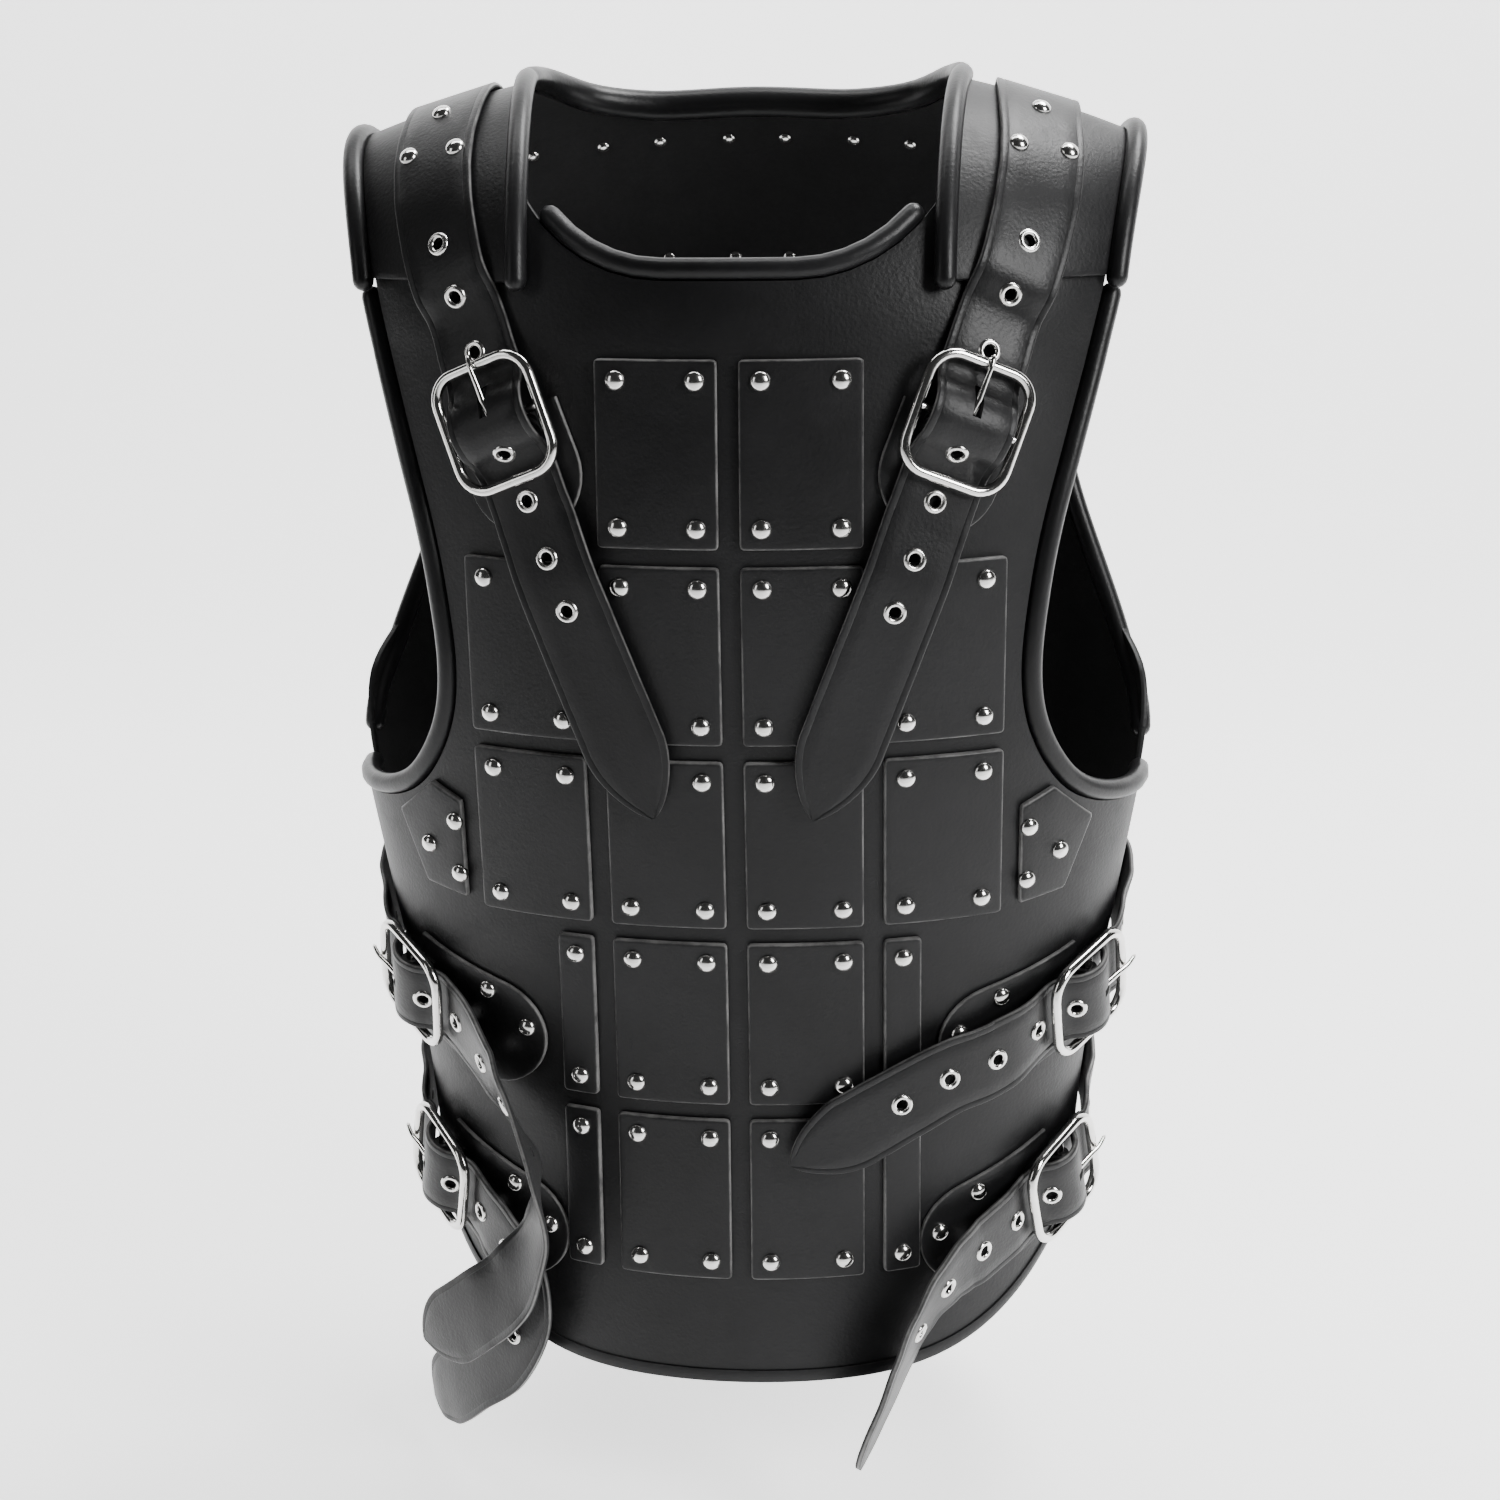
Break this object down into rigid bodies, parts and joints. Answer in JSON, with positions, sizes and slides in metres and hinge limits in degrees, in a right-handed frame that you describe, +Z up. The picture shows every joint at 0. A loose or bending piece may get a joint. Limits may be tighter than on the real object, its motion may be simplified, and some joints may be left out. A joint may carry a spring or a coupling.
{
  "type": "leather brigandine",
  "caption": "Sleeveless body armour of thick black leather shells faced with riveted leather plates, closed at the shoulders and sides by buckled straps.",
  "frame": {"origin": "on the wearer's body axis at the height of the hem", "axes": "+Z up, -Y to the front, +X to the viewer's right when seen from the front"},
  "size_m": [0.4064, 0.2893, 0.6922],
  "materials": {
    "shell_leather": "satin black, fine grain",
    "plate_leather": "satin black with burnished edges",
    "edge_leather": "rolled black edge",
    "strap_leather": "black grain side, charcoal flesh side",
    "rivet_nickel": "polished domes",
    "eyelet_nickel": "polished rings",
    "buckle_steel": "polished round wire"
  },
  "bodies": {
    "root": {"front_shell": "shell_leather", "back_shell": "shell_leather", "neck_roll": "edge_leather", "collar_roll": "edge_leather", "armhole_roll_left": "edge_leather", "flap_roll_left": "edge_leather", "armhole_roll_right": "edge_leather", "flap_roll_right": "edge_leather", "front_hem_binding": "edge_leather", "back_hem_binding": "edge_leather", "front_plates_row_5": "plate_leather", "front_plates_row_4": "plate_leather", "front_plates_row_3": "plate_leather", "front_plates_row_2": "plate_leather", "front_plates_row_1": "plate_leather", "back_plates_upper": "plate_leather", "back_plates_middle": "plate_leather", "back_plates_lower": "plate_leather", "underarm_plates": "plate_leather", "front_rivets": "rivet_nickel", "back_rivets": "rivet_nickel", "shoulder_strap_left": "strap_leather", "shoulder_strap_right": "strap_leather", "side_strap_left_upper": "strap_leather", "side_strap_left_lower": "strap_leather", "side_strap_right_upper": "strap_leather", "side_strap_right_lower": "strap_leather", "strap_eyelets": "eyelet_nickel", "left_shoulder_chape": "strap_leather", "left_upper_chape": "strap_leather", "left_lower_chape": "strap_leather", "right_shoulder_chape": "strap_leather", "right_upper_chape": "strap_leather", "right_lower_chape": "strap_leather", "strap_rivets": "rivet_nickel"},
    "left_shoulder_frame": {"left_shoulder_frame": "buckle_steel"},
    "left_shoulder_prong": {"left_shoulder_prong": "buckle_steel"},
    "left_shoulder_tail": {"left_shoulder_tail": "strap_leather", "left_shoulder_tail_eyelets": "eyelet_nickel"},
    "left_upper_frame": {"left_upper_frame": "buckle_steel"},
    "left_upper_prong": {"left_upper_prong": "buckle_steel"},
    "left_upper_tail": {"left_upper_tail": "strap_leather", "left_upper_tail_eyelets": "eyelet_nickel"},
    "left_lower_frame": {"left_lower_frame": "buckle_steel"},
    "left_lower_prong": {"left_lower_prong": "buckle_steel"},
    "left_lower_tail": {"left_lower_tail": "strap_leather", "left_lower_tail_eyelets": "eyelet_nickel"},
    "right_shoulder_frame": {"right_shoulder_frame": "buckle_steel"},
    "right_shoulder_prong": {"right_shoulder_prong": "buckle_steel"},
    "right_shoulder_tail": {"right_shoulder_tail": "strap_leather", "right_shoulder_tail_eyelets": "eyelet_nickel"},
    "right_upper_frame": {"right_upper_frame": "buckle_steel"},
    "right_upper_prong": {"right_upper_prong": "buckle_steel"},
    "right_upper_tail": {"right_upper_tail": "strap_leather", "right_upper_tail_eyelets": "eyelet_nickel"},
    "right_lower_frame": {"right_lower_frame": "buckle_steel"},
    "right_lower_prong": {"right_lower_prong": "buckle_steel"},
    "right_lower_tail": {"right_lower_tail": "strap_leather", "right_lower_tail_eyelets": "eyelet_nickel"}
  },
  "joints": [
    {"name": "left_shoulder_frame_tilt", "type": "hinge", "parent": "root", "child": "left_shoulder_frame", "pos_m": [-0.10478, -0.11876, 0.47705], "axis": [0.8729, -0.3013, 0.3836], "range_deg": [-1.5, 1.5]},
    {"name": "left_shoulder_prong_lift", "type": "hinge", "parent": "left_shoulder_frame", "child": "left_shoulder_prong", "pos_m": [-0.10478, -0.11876, 0.47705], "axis": [0.8729, -0.3013, 0.3836], "range_deg": [0, 18]},
    {"name": "left_shoulder_tail_flex", "type": "hinge", "parent": "root", "child": "left_shoulder_tail", "pos_m": [-0.09222, -0.12148, 0.44634], "axis": [-0.8729, 0.3013, -0.3836], "range_deg": [0, 35], "stiffness_Nm_per_rad": 0.05},
    {"name": "left_upper_frame_tilt", "type": "hinge", "parent": "root", "child": "left_upper_frame", "pos_m": [-0.16902, -0.05759, 0.18401], "axis": [0.0753, -0.3223, 0.9436], "range_deg": [-1.5, 1.5]},
    {"name": "left_upper_prong_lift", "type": "hinge", "parent": "left_upper_frame", "child": "left_upper_prong", "pos_m": [-0.16902, -0.05759, 0.18401], "axis": [0.0753, -0.3223, 0.9436], "range_deg": [0, 18]},
    {"name": "left_upper_tail_flex", "type": "hinge", "parent": "root", "child": "left_upper_tail", "pos_m": [-0.14532, -0.07907, 0.17477], "axis": [-0.0753, 0.3223, -0.9436], "range_deg": [0, 20], "stiffness_Nm_per_rad": 0.05},
    {"name": "left_lower_frame_tilt", "type": "hinge", "parent": "root", "child": "left_lower_frame", "pos_m": [-0.15889, -0.05808, 0.08339], "axis": [0.1467, -0.2812, 0.9484], "range_deg": [-1.5, 1.5]},
    {"name": "left_lower_prong_lift", "type": "hinge", "parent": "left_lower_frame", "child": "left_lower_prong", "pos_m": [-0.15889, -0.05808, 0.08339], "axis": [0.1467, -0.2812, 0.9484], "range_deg": [0, 18]},
    {"name": "left_lower_tail_flex", "type": "hinge", "parent": "root", "child": "left_lower_tail", "pos_m": [-0.13694, -0.08095, 0.07322], "axis": [-0.1467, 0.2812, -0.9484], "range_deg": [0, 10], "stiffness_Nm_per_rad": 0.05},
    {"name": "right_shoulder_frame_tilt", "type": "hinge", "parent": "root", "child": "right_shoulder_frame", "pos_m": [0.10478, -0.11876, 0.47705], "axis": [0.8729, 0.3013, -0.3836], "range_deg": [-1.5, 1.5]},
    {"name": "right_shoulder_prong_lift", "type": "hinge", "parent": "right_shoulder_frame", "child": "right_shoulder_prong", "pos_m": [0.10478, -0.11876, 0.47705], "axis": [0.8729, 0.3013, -0.3836], "range_deg": [0, 18]},
    {"name": "right_shoulder_tail_flex", "type": "hinge", "parent": "root", "child": "right_shoulder_tail", "pos_m": [0.09222, -0.12148, 0.44634], "axis": [-0.8729, -0.3013, 0.3836], "range_deg": [0, 35], "stiffness_Nm_per_rad": 0.05},
    {"name": "right_upper_frame_tilt", "type": "hinge", "parent": "root", "child": "right_upper_frame", "pos_m": [0.16902, -0.05759, 0.18401], "axis": [0.0753, 0.3223, -0.9436], "range_deg": [-1.5, 1.5]},
    {"name": "right_upper_prong_lift", "type": "hinge", "parent": "right_upper_frame", "child": "right_upper_prong", "pos_m": [0.16902, -0.05759, 0.18401], "axis": [0.0753, 0.3223, -0.9436], "range_deg": [0, 18]},
    {"name": "right_upper_tail_flex", "type": "hinge", "parent": "root", "child": "right_upper_tail", "pos_m": [0.14532, -0.07907, 0.17477], "axis": [-0.0753, -0.3223, 0.9436], "range_deg": [0, 20], "stiffness_Nm_per_rad": 0.05},
    {"name": "right_lower_frame_tilt", "type": "hinge", "parent": "root", "child": "right_lower_frame", "pos_m": [0.15889, -0.05808, 0.08339], "axis": [0.1467, 0.2812, -0.9484], "range_deg": [-1.5, 1.5]},
    {"name": "right_lower_prong_lift", "type": "hinge", "parent": "right_lower_frame", "child": "right_lower_prong", "pos_m": [0.15889, -0.05808, 0.08339], "axis": [0.1467, 0.2812, -0.9484], "range_deg": [0, 18]},
    {"name": "right_lower_tail_flex", "type": "hinge", "parent": "root", "child": "right_lower_tail", "pos_m": [0.13694, -0.08095, 0.07322], "axis": [-0.1467, -0.2812, 0.9484], "range_deg": [0, 20], "stiffness_Nm_per_rad": 0.05}
  ]
}
